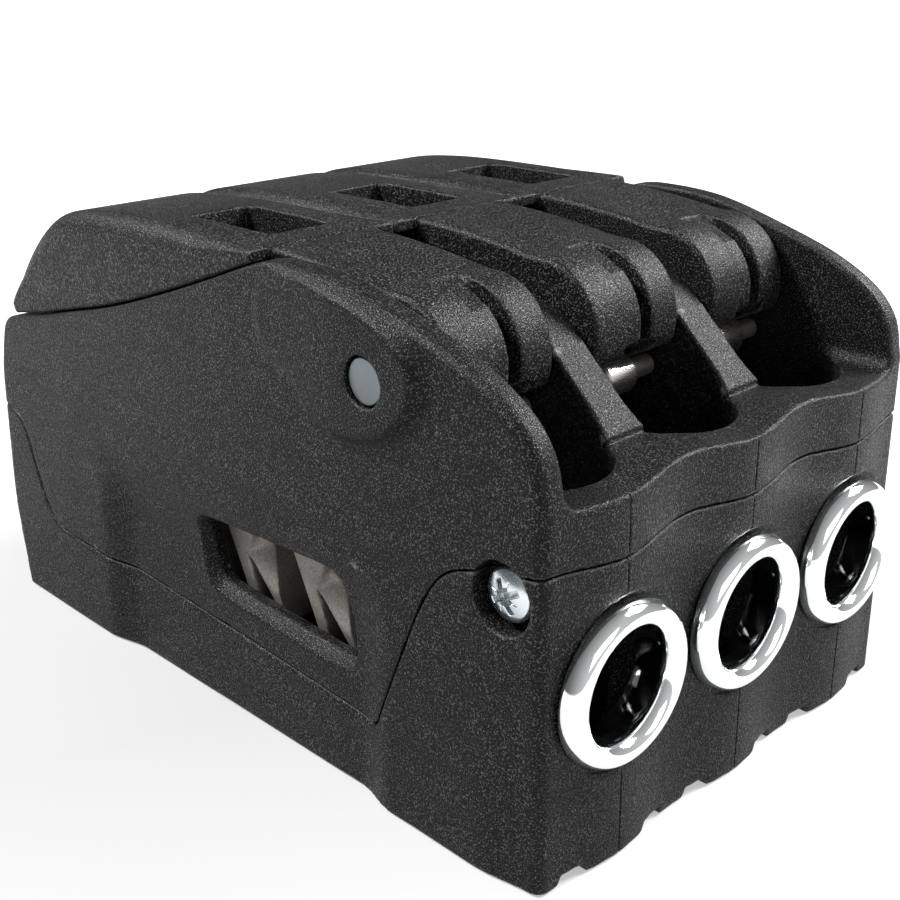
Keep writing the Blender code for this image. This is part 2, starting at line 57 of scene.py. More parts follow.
def box(node):
    low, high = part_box(node)
    return low / MM, high / MM


def centre(node):
    low, high = box(node)
    return (low + high) / 2


FRONT = box("base_mid_a")[1].x                 # the front face in the row frame
REAR_X = box("base_mid_a")[0].x - FRONT
PITCH = centre("lever_3").y - centre("lever_2").y
MODULES = (-1, 0, 1)
PIVOT = (centre("pivot_pin").x - FRONT, centre("pivot_pin").z)
PIVOT_R = (box("pivot_pin")[1].x - box("pivot_pin")[0].x) / 2
CHEEK_Y = box("pivot_pin")[1].y + 0.2
FERRULE_HIGH = box("front_ferrule_2")[1]
ROPE_Z = centre("front_ferrule_2").z
FERRULE_R = FERRULE_HIGH.y
FERRULE_PROUD = FERRULE_HIGH.x - FRONT
CRANK = (centre("crank_pin_2").x - FRONT, centre("crank_pin_2").z)
CRANK_R = (box("crank_pin_2")[1].z - box("crank_pin_2")[0].z) / 2
COLLAR_R = (box("crank_collar_2")[1].z - box("crank_collar_2")[0].z) / 2
COLLAR_Y = (box("crank_collar_2")[0].y, box("crank_collar_2")[1].y)
CLAMP_HEAD_R = (box("clamp_bolt")[1].z - box("clamp_bolt")[0].z) / 2
CLAMP = (box("clamp_bolt")[1].x - FRONT - CLAMP_HEAD_R, centre("clamp_bolt").z)
DOMINO_PINS = [(centre(f"domino_pin_{k}").x - FRONT, centre(f"domino_pin_{k}").z)
               for k in (1, 2, 3, 4)]

# Housing
CHANNEL_HALF = 12.45
CHANNEL_REAR = -158.0
POCKET_X = -19.5
FLOOR_Z = 9.0
GAP = 0.3
JOINT_GAP = 0.12
FERRULE_BORE = 9.75
FERRULE_TUBE = 11.2
FERRULE_DEPTH = 6.0
COUNTERBORE_R = 15.6
COUNTERBORE_DEPTH = 1.2
LIP_DEPTH = 3.3
LEDGE_LOW_Z = 66.1
LEDGE_WAVE = 1.2
SPLIT_WAVE = 1.4
RAMP_FOOT_X = -14.9
CLAMP_RECESS_R = 6.05
CLAMP_RECESS = 4.2
BOSS_HEIGHT = 1.9
DECK_HOLES = (POCKET_X, -150.5)
DECK_HOLE_R, DECK_HEAD_R, DECK_SEAT_Z = 3.25, 6.25, 5.0
CLAMP_BORE_R = 2.8
PIN_BORE_R = 1.8              # holes for the domino pins
PIN_BORE_COVER = 1.9          # material left over their ends
NOTCH_Y = 10.2                # drain notches, from a module's centre line
NOTCH_HALF = 2.2
NOTCH_HEIGHT = 1.9
WELL_INSIDE = 50              # a depth that no cut reaches

SPLIT_LINE = [(-175, 44.4), (-170.2, 43.6), (-164, 42.9), (-160.6, 40.6), (-156.6, 31.6),
              (-152.4, 23.6), (-149, 20.3), (-145, 19.3), (-105, 18.2), (-44.5, 15.2),
              (-41.2, 15.0), (-39.4, 17.6), (-33.4, 31.9), (-29.3, 41.8), (-26.2, 47.4),
              (-23.2, 51.0), (-19, 53.2), (-13, 54.6), (-1.8, 57.2), (6, 57.2)]
CHEEK_TOP = [(-173, 43.9), (-171.1, 44.0), (-169.9, 49.0), (-168.2, 55.0), (-165.6, 61.8),
             (-163.4, 64.6), (-159.6, 65.9), (-149, 67.6), (-138.8, 70.3), (-119.3, 74.9),
             (-99.4, 81.2), (-83.5, 86.7), (-70, 91.7), (-64.5, 93.5), (-58, 93.9),
             (-47, 93.5), (-40.1, 92.2), (-33.4, 90.5), (-20.7, 86.9), (-14.8, 84.5),
             (-9.8, 81.9), (-6.4, 79.3), (-4.0, 76.3), (-2.4, 72.8), (-1.2, 68.6), (6, 68.6)]
RAMP_TOP = [(-86, 85.5), (-37.6, 84.8), (-34.6, 84.2), (-31.7, 82.8), (-28.7, 80.5),
            (-25.8, 77.6), (-14.9, 67.5)]
REAR_WALL_LOWER = [(-171.2, 38), (-168.8, 20), (-164.8, 0)]
BOSS = [(-64.1, 91.0), (-66.8, 87.2), (-67.2, 81.2), (-63.6, 77.6), (-57.5, 75.1),
        (-54.0, 69.8), (-48.5, 68.6), (-41.9, 68.8), (-34.8, 70.7), (-29.3, 75.4),
        (-26.8, 81.5), (-29.8, 86.3), (-37.0, 89.6), (-47.2, 91.7), (-58.1, 92.6)]
WINDOW = [(-94.0, 37.0), (-93.2, 38.8), (-91.6, 39.6), (-53.5, 42.2), (-50.0, 41.4),
          (-48.0, 38.1), (-46.3, 26.9), (-46.8, 23.0), (-49.1, 21.7), (-87.4, 23.0),
          (-90.6, 24.3), (-92.6, 27.5)]
SILL = [(-92.6, 36.6), (-91.9, 38.2), (-90.4, 39.2), (-53.5, 41.8), (-50.2, 40.9),
        (-48.4, 37.9), (-46.9, 28.0), (-47.4, 25.0), (-49.6, 23.8), (-86.6, 25.1),
        (-89.2, 26.2), (-91.0, 29.0)]
SILL_DEPTH = 2.0

# Levers
LEVER_TOP = [(-162.2, 67.9), (-161.2, 70.6), (-156.8, 76.5), (-150, 83.0), (-143.6, 87.7),
             (-137.4, 90.8), (-129, 92.4), (-118, 93.4), (-107, 93.9), (-84, 94.2),
             (-70.5, 94.0)]
LEVER_ARM = [(-100, 93.9), (-84, 94.2), (-70, 93.9), (-60, 93.5), (-50, 92.7), (-42, 91.6)]
LEVER_HALF = 16.2
LEVER_SEAM = 0.35
STEP_X = -70.5
HUB_R = 12.4
HUB_HALF = 11.4
SOCKET_X = (-102.8, -77.3)
SOCKET_HALF = 6.6
HUB_GAP_Y = (1.4, 3.7)
HUB_FLAT_Y = (-2.8, 3.7)
HUB_INSET = 0.6
SEAT_SLOPE = radians(26)

# Dominoes
DOMINO_LEAN = radians(24)
DOMINO_HALF = 11.5
DOMINO_PLATE_X = 2.3          # half of the plate's thickness
DOMINO_HOLE_Z, DOMINO_HOLE_R = -22.8, 7.5
DOMINO_PROFILE = [(-2.3, -39.5), (2.3, -39.5), (7.5, -43.0), (7.5, -17.5), (2.3, -14.2),
                  (2.3, 1.7), (1.6, 3.3), (0, 4.0), (-1.6, 3.3), (-2.3, 1.7)]


# ---------------------------------------------------------------- distance fields

def ramp(low, high, value):
    """0 below low, 1 above high, an even S between them."""
    t = np.clip((value - low) / (high - low), 0, 1)
    return t * t * (3 - 2 * t)


def meet(a, b, radius):
    """Where a and b overlap, their common edge rounded."""
    return np.minimum(np.maximum(a, b), -radius) + np.hypot(
        np.maximum(a + radius, 0), np.maximum(b + radius, 0))


def cut(a, b, radius):
    """a without b, the edge of the cut rounded."""
    return meet(a, -b, radius)


def join(a, b, radius):
    """a and b together, the corner between them filled."""
    return -meet(-a, -b, radius)


def rounded(points, rounds=3, closed=False):
    """A polyline with its corners cut again and again, which turns them into curves."""
    for _ in range(rounds):
        pairs = list(zip(points, points[1:] + points[:1] if closed else points[1:]))
        finer = []
        for (a0, b0), (a1, b1) in pairs:
            finer.append((0.75 * a0 + 0.25 * a1, 0.75 * b0 + 0.25 * b1))
            finer.append((0.25 * a0 + 0.75 * a1, 0.25 * b0 + 0.75 * b1))
        points = finer if closed else [points[0], *finer[1:-1], points[-1]]
    return points


def outline(points, a, b):
    """Distance from (a, b) to a closed outline."""
    shape = np.broadcast_shapes(a.shape, b.shape)
    distance = np.full(shape, 1e6)
    inside = np.zeros(shape, bool)
    for (a0, b0), (a1, b1) in zip(points, points[1:] + points[:1]):
        da, db = a1 - a0, b1 - b0
        if da == db == 0:
            continue
        t = np.clip(((a - a0) * da + (b - b0) * db) / (da * da + db * db), 0, 1)
        distance = np.minimum(distance, np.hypot(a - a0 - t * da, b - b0 - t * db))
        if db:
            inside ^= ((b0 > b) != (b1 > b)) & (a < a0 + (b - b0) * da / db)
    return np.where(inside, -distance, distance)


def height_of(line, x):
    """Height of an open line of (x, z) points at x."""
    return np.interp(x, [p[0] for p in line], [p[1] for p in line])


def disc(a, b, at, radius):
    """A round hole or pin along the third axis."""
    return np.hypot(a - at[0], b - at[1]) - radius


def stepped(low, high, step, fine=()):
    """Grid positions from low to high; each (from, to, step) in fine is sampled closer."""
    stops = sorted({low, high, *[p for f in fine for p in f[:2] if low < p < high]})
    out = []
    for a, b in zip(stops, stops[1:]):
        inner = [f[2] for f in fine if f[0] <= (a + b) / 2 <= f[1]]
        count = max(1, round((b - a) / (min(inner) if inner else step)))
        out.extend(a + (b - a) * k / count for k in range(count))
    return np.array(out + [high])


CORNERS = [(i, j, k) for i in (0, 1) for j in (0, 1) for k in (0, 1)]


def surface(field, axes):
    """Points and quads of a field's surface: a point in each cell that it crosses."""
    solid = field < 0
    cells = tuple(n - 1 for n in field.shape)
    count = np.zeros(cells, np.int8)
    for i, j, k in CORNERS:
        count += solid[i:i + cells[0], j:j + cells[1], k:k + cells[2]]
    mixed = (count > 0) & (count < 8)
    number = np.full(cells, -1, np.int32)
    number[mixed] = np.arange(mixed.sum())
    at = np.argwhere(mixed)
    total = np.zeros((len(at), 3))
    hits = np.zeros(len(at))
    for corner in CORNERS:
        for axis in range(3):
            if corner[axis]:
                continue
            start = at + corner
            end = start.copy()
            end[:, axis] += 1
            f0, f1 = field[tuple(start.T)], field[tuple(end.T)]
            crossed = (f0 < 0) != (f1 < 0)
            point = np.array(corner, float) + np.zeros((crossed.sum(), 3))
            point[:, axis] = f0[crossed] / (f0[crossed] - f1[crossed])
            total[crossed] += point
            hits[crossed] += 1
    index = at + total / hits[:, None]
    points = np.stack([np.interp(index[:, a], np.arange(len(axes[a])), axes[a])
                       for a in range(3)], 1)
    quads = []
    for axis in range(3):
        i, j = (axis + 1) % 3, (axis + 2) % 3
        here = np.moveaxis(solid, axis, 0)
        changed = np.moveaxis(here[:-1] != here[1:], 0, axis)
        edges = np.argwhere(changed)
        edges = edges[(edges[:, i] > 0) & (edges[:, j] > 0)]
        step_i, step_j = np.eye(3, dtype=int)[i], np.eye(3, dtype=int)[j]
        ring = [edges, edges - step_i, edges - step_i - step_j, edges - step_j]
        quad = np.stack([number[tuple(e.T)] for e in ring], 1)
        outward = solid[tuple(edges.T)]
        quad[outward] = quad[outward][:, ::-1]
        quads.append(quad[:, ::-1])
    return points, np.concatenate(quads)


def mesh_of(name, points, quads):
    mesh = bpy.data.meshes.new(name)
    mesh.vertices.add(len(points))
    mesh.vertices.foreach_set("co", np.ascontiguousarray(points, np.float32).ravel())
    mesh.loops.add(quads.size)
    mesh.loops.foreach_set("vertex_index", np.ascontiguousarray(quads, np.int32).ravel())
    mesh.polygons.add(len(quads))
    mesh.polygons.foreach_set("loop_start", np.arange(0, quads.size, 4, dtype=np.int32))
    mesh.update(calc_edges=True)
    mesh.shade_smooth()
    return mesh


def solid_mesh(name, field_of, axes, keep=0.3):
    """Meshes a solid and thins the mesh where it is flat; keep is the share left."""
    axes = [np.asarray(a, float) for a in axes]
    x, y, z = np.meshgrid(*axes, indexing="ij", sparse=True)
    field = np.broadcast_to(field_of(x, y, z), tuple(len(a) for a in axes))
    points, quads = surface(field.astype(np.float32), axes)
    mesh = mesh_of(name, (points + (FRONT, 0, 0)) * MM, quads)
    carrier = bpy.data.objects.new(name, mesh)
    bpy.context.scene.collection.objects.link(carrier)
    thin = carrier.modifiers.new("thin", "DECIMATE")
    thin.ratio = keep
    depsgraph = bpy.context.evaluated_depsgraph_get()
    thinned = bpy.data.meshes.new_from_object(carrier.evaluated_get(depsgraph))
    bpy.data.objects.remove(carrier)
    bpy.data.meshes.remove(mesh)
    thinned.name = name
    thinned.shade_smooth()
    return thinned


# ---------------------------------------------------------------- materials

def new_material(name):
    mat = bpy.data.materials.new(name)
    mat.use_nodes = True
    tree = mat.node_tree
    return mat, tree, tree.nodes["Principled BSDF"]


def noise(tree, scale, detail=2.0, roughness=0.5, stretch=None):
    """Noise on the object's own coordinates, with scale in features per metre."""
    coords = tree.nodes.new("ShaderNodeTexCoord")
    source = coords.outputs["Object"]
    if stretch:
        mapping = tree.nodes.new("ShaderNodeMapping")
        mapping.inputs["Scale"].default_value = stretch
        tree.links.new(source, mapping.inputs["Vector"])
        source = mapping.outputs["Vector"]
    node = tree.nodes.new("ShaderNodeTexNoise")
    node.inputs["Scale"].default_value = scale
    node.inputs["Detail"].default_value = detail
    node.inputs["Roughness"].default_value = roughness
    tree.links.new(source, node.inputs["Vector"])
    return node.outputs["Fac"]


def spread(tree, source, low, high, to_low, to_high):
    """Maps source from low..high to to_low..to_high, and holds it there."""
    node = tree.nodes.new("ShaderNodeMapRange")
    for socket, value in (("From Min", low), ("From Max", high), ("To Min", to_low),
                          ("To Max", to_high)):
        node.inputs[socket].default_value = value
    tree.links.new(source, node.inputs["Value"])
    return node.outputs["Result"]


def mixed(tree, factor, first, second):
    node = tree.nodes.new("ShaderNodeMix")
    node.data_type = "RGBA"
    for socket, value in (("A", first), ("B", second)):
        target = next(s for s in node.inputs if s.name == socket and s.type == "RGBA")
        if isinstance(value, tuple):
            target.default_value = (*value, 1)
        else:
            tree.links.new(value, target)
    tree.links.new(factor, node.inputs["Factor"])
    return next(s for s in node.outputs if s.type == "RGBA")


def bump(tree, shader, height, distance, strength=1.0):
    node = tree.nodes.new("ShaderNodeBump")
    node.inputs["Strength"].default_value = strength
    node.inputs["Distance"].default_value = distance
    tree.links.new(height, node.inputs["Height"])
    tree.links.new(node.outputs["Normal"], shader.inputs["Normal"])


def edge_wear_and_highlight(tree):
    """1 on sharp outer edges, 0 elsewhere: the mask for edge wear and for a painted edge
    highlight.
    """
    geometry = tree.nodes.new("ShaderNodeNewGeometry")
    return spread(tree, geometry.outputs["Pointiness"], 0.53, 0.60, 0, 1)


def moulded_plastic(name, dark, light, worn_and_lit_colour):
    """Black plastic with a spark-eroded grain: pale grains on a dark ground, and sharp edges
    lightened partly as wear and partly as a painted highlight.
    """
    mat, tree, shader = new_material(name)
    grain = noise(tree, 3100, 1, 0.8)
    cloud = noise(tree, 90, 3)
    grains = spread(tree, grain, 0.56, 0.67, 0, 1)
    colour = mixed(tree, grains, dark, light)
    tone = spread(tree, cloud, 0.3, 0.7, 0.0, 0.35)
    colour = mixed(tree, tone, colour, dark)
    # Sharp edges are lightened towards the last colour: partly real wear, partly a painted
    # highlight where the edges would catch the light.
    rubbed_and_lit = tree.nodes.new("ShaderNodeMath")
    rubbed_and_lit.operation = "MULTIPLY"
    tree.links.new(edge_wear_and_highlight(tree), rubbed_and_lit.inputs[0])
    tree.links.new(spread(tree, noise(tree, 900, 4), 0.35, 0.65, 0.2, 0.8), rubbed_and_lit.inputs[1])
    colour = mixed(tree, rubbed_and_lit.outputs[0], colour, worn_and_lit_colour)
    tree.links.new(colour, shader.inputs["Base Color"])
    tree.links.new(spread(tree, grain, 0.35, 0.65, 0.56, 0.30), shader.inputs["Roughness"])
    shader.inputs["Specular IOR Level"].default_value = 0.12
    bump(tree, shader, grain, 0.00022, 0.8)
    return mat


def polished(name):
    """Mirror-polished stainless steel with faint turning marks and wipe marks."""
    mat, tree, shader = new_material(name)
    wipe = noise(tree, 140, 4, 0.6)
    shader.inputs["Metallic"].default_value = 1
    tree.links.new(mixed(tree, wipe, (0.84, 0.86, 0.87), (0.92, 0.94, 0.95)),
                   shader.inputs["Base Color"])
    tree.links.new(spread(tree, wipe, 0.3, 0.75, 0.05, 0.11), shader.inputs["Roughness"])
    bump(tree, shader, noise(tree, 420, 2, 0.5, (6, 1, 1)), 0.00002, 0.25)
    return mat


def ground_steel(name, tone=(0.42, 0.44, 0.46), stretch=(30, 1, 30), rough=(0.22, 0.42)):
    """Ground stainless steel: fine parallel scratches and a soft cloud of tones."""
    mat, tree, shader = new_material(name)
    scratches = noise(tree, 260, 6, 0.7, stretch)
    cloud = noise(tree, 220, 2)
    shader.inputs["Metallic"].default_value = 1
    pale = tuple(min(1, t * 1.25) for t in tone)
    tree.links.new(mixed(tree, cloud, tone, pale), shader.inputs["Base Color"])
    tree.links.new(spread(tree, scratches, 0.3, 0.7, *rough), shader.inputs["Roughness"])
    bump(tree, shader, scratches, 0.00003, 0.3)
    return mat


def cast_metal(name):
    """The dominoes: grey-brown cast bronze-like metal, satin, with a fine sand skin."""
    mat, tree, shader = new_material(name)
    sand = noise(tree, 2600, 3, 0.6)
    cloud = noise(tree, 160, 3)
    tone = mixed(tree, spread(tree, cloud, 0.3, 0.7, 0, 1), (0.14, 0.13, 0.118),
                 (0.20, 0.19, 0.177))
    speck = mixed(tree, spread(tree, sand, 0.45, 0.7, 0, 0.6), tone, (0.34, 0.32, 0.295))
    tree.links.new(speck, shader.inputs["Base Color"])
    shader.inputs["Metallic"].default_value = 0.75
    tree.links.new(spread(tree, sand, 0.3, 0.7, 0.6, 0.42), shader.inputs["Roughness"])
    bump(tree, shader, sand, 0.00006, 0.5)
    return mat


# The last colour of each plastic is its lightened edge colour: wear plus a painted edge
# highlight.
SHELL = moulded_plastic("shell_plastic", (0.001, 0.001, 0.001), (0.064, 0.064, 0.065),
                        (0.13, 0.13, 0.13))
LEVER = moulded_plastic("lever_plastic", (0.001, 0.001, 0.001), (0.088, 0.088, 0.089),
                        (0.14, 0.14, 0.14))
CHROME = polished("polished_stainless")
PIN_STEEL = ground_steel("ground_pin_end", (0.13, 0.145, 0.155), (30, 30, 30), (0.28, 0.45))
ROD_STEEL = ground_steel("drawn_rod", (0.50, 0.47, 0.45), (30, 1, 30), (0.34, 0.5))
COLLAR_STEEL = ground_steel("bright_collar", (0.80, 0.77, 0.74), (30, 1, 30), (0.2, 0.34))
SCREW_STEEL = ground_steel("screw_steel", (0.50, 0.53, 0.55), (8, 30, 8), (0.16, 0.30))
SLIDE_STEEL = ground_steel("slide_steel", (0.40, 0.40, 0.41), (2, 30, 30))
DOMINO = cast_metal("domino_cast")


# ---------------------------------------------------------------- placing pieces

def piece(name, mesh, material, node, body):
    """Shows mesh in place of one CAD node, riding on its body."""
    mesh.materials.clear()
    mesh.materials.append(material)
    obj = bpy.data.objects.new(name, mesh)
    bpy.context.scene.collection.objects.link(obj)
    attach(obj, body)
    if node:
        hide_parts(node)
    return obj


def moved(mesh, matrix):
    copy = mesh.copy()
    copy.transform(matrix)
    if matrix.determinant() < 0:
        copy.flip_normals()
    return copy


def along_y(distance):
    return Matrix.Translation((0, distance * MM, 0))


MIRROR = Matrix.Diagonal((1, -1, 1, 1))


# ---------------------------------------------------------------- housing

def half_width(x, z):
    """Half width of the clutch: drafted out to the deck, with a waist and two bosses."""
    draft = (2.2 + 1.2 * np.clip((-x - 30) / 110, 0, 1)) * np.clip(1 - z / 55, 0, 1)
    draft = draft * (0.2 + 0.8 * ramp(2, 16, -x))
    along = ramp(36, 46, -x) * (1 - ramp(117, 129, -x))
    waist = 2.0 * along * (1 - ramp(32, 47, z))
    boss = outline(rounded(BOSS, closed=True), x, z)
    height = BOSS_HEIGHT * (0.3 + 0.7 * ramp(-66, -44, x))
    return CHEEK_Y + draft - waist + height * (1 - ramp(-0.6, 1.9, boss))


def front_x(y):
    """The front wall swells a little towards each module's centre line."""
    inside = -0.85 * (1 - np.cos(2 * pi * y / PITCH))
    return np.where(np.abs(y) < 1.5 * PITCH, inside, -1.7)


def envelope(x, y, z):
    side = np.abs(y) - half_width(x, z)
    body = meet(side, x - front_x(y), 2.2)
    return meet(body, REAR_X - x, 3.6)


def wave(y):
    """0 on a module's centre line and 1 halfway between two modules."""
    return 0.5 * (1 - np.cos(2 * pi * y / PITCH))


def split_side(x, y, z):
    """Negative under the line where upper and lower shells meet."""
    on_front = ramp(-16, -5, x)
    lift = on_front * SPLIT_WAVE * (wave(y) - 1)
    line = rounded(SPLIT_LINE, 2)
    flat = outline([*line, (60, 57), (60, -60), (-230, -60), (-230, 44.4)], x, z)
    return flat - lift


def ledge_z(x, y):
    """Height of the front wall's top, which rises between two modules."""
    between = wave(y) * (np.abs(y) < PITCH)
    return LEDGE_LOW_Z + LEDGE_WAVE * between * (0.25 + 0.75 * ramp(RAMP_FOOT_X, -2, x))


def channels(x, y, modules):
    """The slots that the levers and dominoes work in, each with a round front end."""
    all_of_them = np.full(np.broadcast_shapes(x.shape, y.shape), 1e6)
    for m in modules:
        off = np.abs(y - m * PITCH)
        one = np.hypot(np.maximum(x - POCKET_X, 0), off) - CHANNEL_HALF
        one = meet(one, CHANNEL_REAR - x, 2.0)
        all_of_them = np.minimum(all_of_them, one)
    return all_of_them


def rope_way(x, y, z, modules):
    """Bores through the end walls, with the shallow seats of the ferrules."""
    all_of_them = np.full(np.broadcast_shapes(x.shape, y.shape, z.shape), 1e6)
    rear_seat = REAR_X + FERRULE_PROUD + COUNTERBORE_DEPTH
    in_front, in_rear = -COUNTERBORE_DEPTH - x, x - rear_seat
    seats = np.minimum(np.maximum(in_front, -WELL_INSIDE), np.maximum(in_rear, -WELL_INSIDE))
    for m in modules:
        off = np.hypot(y - m * PITCH, z - ROPE_Z)
        bore = off - FERRULE_TUBE - GAP
        counterbore = np.maximum(off - COUNTERBORE_R, seats)
        all_of_them = np.minimum(all_of_them, np.minimum(bore, counterbore))
    return all_of_them


def housing_cuts(field, x, y, z, modules):
    """Cuts shared by the upper and lower shells next to these modules."""
    field = cut(field, meet(channels(x, y, modules), FLOOR_Z - z, 1.5), 0.6)
    field = cut(field, rope_way(x, y, z, modules), 0.35)
    return cut(field, disc(x, z, CLAMP, CLAMP_BORE_R), 0.2)


def upper(x, y, z, outer, modules):
    """An upper shell: a cheek if outer, else a divider."""
    field = envelope(x, y, z)
    if outer:
        top = rounded(CHEEK_TOP, 3)
        floor_line = [(60, 68.6), (60, -60), (-230, -60), (-230, 43.9)]
        profile = outline([*top, *floor_line], x, z)
        edge = 0.7 + 1.3 * ramp(-72, -56, x)
        field = meet(field, profile, edge)
        beyond = np.abs(y) - PITCH - CHANNEL_HALF
        over_ledge = meet(ledge_z(x, y) - z, RAMP_FOOT_X - 8 - x, 0.5)
        over_ledge = meet(over_ledge, beyond, 3.0)
        field = cut(field, over_ledge, 0.9)
    else:
        top = [p for p in CHEEK_TOP if p[0] < RAMP_TOP[0][0]] + rounded(RAMP_TOP, 2)
        ledge = [(-10, 67.6), (60, 67.6), (60, -60), (-230, -60), (-230, 43.9)]
        profile = outline([*top, *ledge], x, z)
        wall = np.maximum(z - ledge_z(x, y), RAMP_FOOT_X - 6 - x)
        body = np.maximum(profile, x - RAMP_FOOT_X)
        field = meet(field, np.minimum(body, wall), 0.45)
    field = meet(field, -split_side(x, y, z) + JOINT_GAP, 0.3)
    field = housing_cuts(field, x, y, z, modules)
    field = cut(field, disc(x, z, PIVOT, PIVOT_R + GAP), 0.25)
    for pin in DOMINO_PINS:
        hole = np.maximum(disc(x, z, pin, PIN_BORE_R), np.abs(y) - CHEEK_Y + PIN_BORE_COVER)
        field = cut(field, hole, 0.1)
    return field


def lower(x, y, z, modules):
    """A base shell."""
    rear = [*REAR_WALL_LOWER[::-1], (REAR_X - 5, 60), (60, 60), (60, 0)]
    field = meet(envelope(x, y, z), outline(rear, x, z), 0.6)
    field = meet(field, split_side(x, y, z) + JOINT_GAP, 0.7)
    field = housing_cuts(field, x, y, z, modules)
    for m in modules:
        for side in (-1, 1):
            off = np.abs(y - m * PITCH - side * NOTCH_Y)
            flare = np.maximum(NOTCH_HEIGHT - z, 0) * 0.45
            notch = np.maximum(z - NOTCH_HEIGHT, off - NOTCH_HALF - flare)
            field = cut(field, np.maximum(notch, -9 - x), 0.4)
        for hole_x in DECK_HOLES:
            at = (hole_x, m * PITCH)
            hole = disc(x, y, at, DECK_HOLE_R)
            head = np.maximum(disc(x, y, at, DECK_HEAD_R), DECK_SEAT_Z - z)
            field = cut(field, np.minimum(hole, head), 0.3)
    return field


def outer_cuts(field, x, y, z):
    """The recess round the clamp screw's head, or its nut."""
    recess = np.maximum(disc(x, z, CLAMP, CLAMP_RECESS_R), CHEEK_Y - CLAMP_RECESS - np.abs(y))
    return cut(field, recess, 0.45)


def cheek_window(field, x, y, z):
    """The inspection window, which narrows inwards to leave a sloping sill."""
    depth = np.clip((half_width(x, z) - np.abs(y)) / SILL_DEPTH, 0, 1)
    at_face = outline(rounded(WINDOW, 2, closed=True), x, z)
    at_back = outline(rounded(SILL, 2, closed=True), x, z)
    opening = at_face * (1 - depth) + at_back * depth
    return cut(field, np.maximum(opening * 0.75, 40 - np.abs(y)), 0.15)


def housing():
    step = 0.45
    x = stepped(REAR_X - 2, 3, step)
    low_z = stepped(-2, 61, step)
    high_z = stepped(12, 97, step)
    joint = JOINT_GAP / 2
    fine = 0.12

    def parted(field, edges):
        for edge in edges:
            field = meet(field, edge, 0.15)
        return field

    def cheek(x, y, z):
        field = upper(x, y, z, True, (-1,))
        field = cheek_window(outer_cuts(field, x, y, z), x, y, z)
        return parted(field, [y + PITCH + joint])

    def base_side(x, y, z):
        field = outer_cuts(lower(x, y, z, (-1,)), x, y, z)
        return parted(field, [y + PITCH + joint])

    def divider(x, y, z):
        return parted(upper(x, y, z, False, (-1, 0)), [-PITCH + joint - y, y + joint])

    def base_mid(x, y, z):
        return parted(lower(x, y, z, (-1, 0)), [-PITCH + joint - y, y + joint])

    outer_y = stepped(-57, -PITCH + 1, step, [(-PITCH - 1.2, -PITCH + 1, fine)])
    inner_y = stepped(-PITCH - 1, 1, step, [(-PITCH - 1, -PITCH + 1.2, fine), (-1.2, 1, fine)])
    solids = (
        ("cheek", cheek, outer_y, high_z, ("cheek_left", "cheek_right"), MIRROR),
        ("base_side", base_side, outer_y, low_z, ("base_left", "base_right"), MIRROR),
        ("divider", divider, inner_y, high_z, ("divider_a", "divider_b"), along_y(PITCH)),
        ("base_mid", base_mid, inner_y, low_z, ("base_mid_a", "base_mid_b"), along_y(PITCH)),
    )
    for name, field_of, y, z, (first, second), placing in solids:
        mesh = solid_mesh(name, field_of, (x, y, z))
        piece(f"{first}_moulding", mesh, SHELL, first, "housing")
        piece(f"{second}_moulding", moved(mesh, placing), SHELL, second, "housing")


# ---------------------------------------------------------------- levers

def lever(x, y, z):
    """A lever on the middle module's centre line."""
    seam = [(px, pz + LEVER_SEAM) for px, pz in rounded(CHEEK_TOP, 3) if -161 < px < STEP_X]
    seam.append((STEP_X, float(height_of(CHEEK_TOP, STEP_X)) + LEVER_SEAM))
    top = rounded(LEVER_TOP, 3)
    profile = outline(top + seam[::-1], x, z)
    above = z - height_of(seam, x)
    wide = meet(profile, np.abs(y) - LEVER_HALF, np.clip(0.55 * above, 0.5, 4.2))
    hub_arc = [(PIVOT[0] + HUB_R * cos(radians(a)), PIVOT[1] + HUB_R * sin(radians(a)))
               for a in range(88, -153, -6)]
    arm = rounded(LEVER_ARM, 2) + hub_arc + [(-62, 76.5), (-90, 81.5), (-100, 81.5)]
    narrow = meet(outline(arm, x, z), np.abs(y) - HUB_HALF, 1.1)
    body = join(wide, narrow, 0.9)
    socket_x = (SOCKET_X[0] + SOCKET_X[1]) / 2
    socket = meet(np.abs(x - socket_x) - (SOCKET_X[1] - SOCKET_X[0]) / 2,
                  np.abs(y) - SOCKET_HALF, 0.9)
    body = cut(body, socket, 0.45)
    px, pz = PIVOT
    chord = [(px + HUB_R * cos(radians(a)), pz + HUB_R * sin(radians(a))) for a in (103, 46)]
    (x0, z0), (x1, z1) = chord
    slope = (z1 - z0) / (x1 - x0)
    above_flat = (z0 + slope * (x - x0) - z) / (1 + slope * slope) ** 0.5
    around = np.hypot(x - px, z - pz)
    angle = np.degrees(np.arctan2(z - pz, x - px))
    inset = np.maximum(HUB_R - HUB_INSET - around, 0.2 * (np.abs(angle + 20) - 70))
    low = np.minimum(np.maximum(above_flat, x0 - x), inset)
    low = np.maximum(np.maximum(low, HUB_FLAT_Y[0] - y), y - HUB_FLAT_Y[1])
    body = cut(body, low, 0.25)
    left = HUB_GAP_Y[1] - (HUB_GAP_Y[1] - HUB_GAP_Y[0]) * ramp(-100, -45, -angle)
    gap = np.maximum(np.maximum(left - y, y - HUB_GAP_Y[1]), 7.4 - around)
    gap = np.maximum(gap, x0 - x)
    body = cut(body, gap, 0.2)
    body = cut(body, disc(x, z, PIVOT, PIVOT_R + GAP), 0.3)
    body = cut(body, crank_seat(x, z, CRANK_R + GAP), 0.3)
    beside = np.maximum(COLLAR_Y[0] - GAP - y, y - COLLAR_Y[1] - GAP)
    return cut(body, np.maximum(crank_seat(x, z, COLLAR_R + GAP), beside), 0.3)


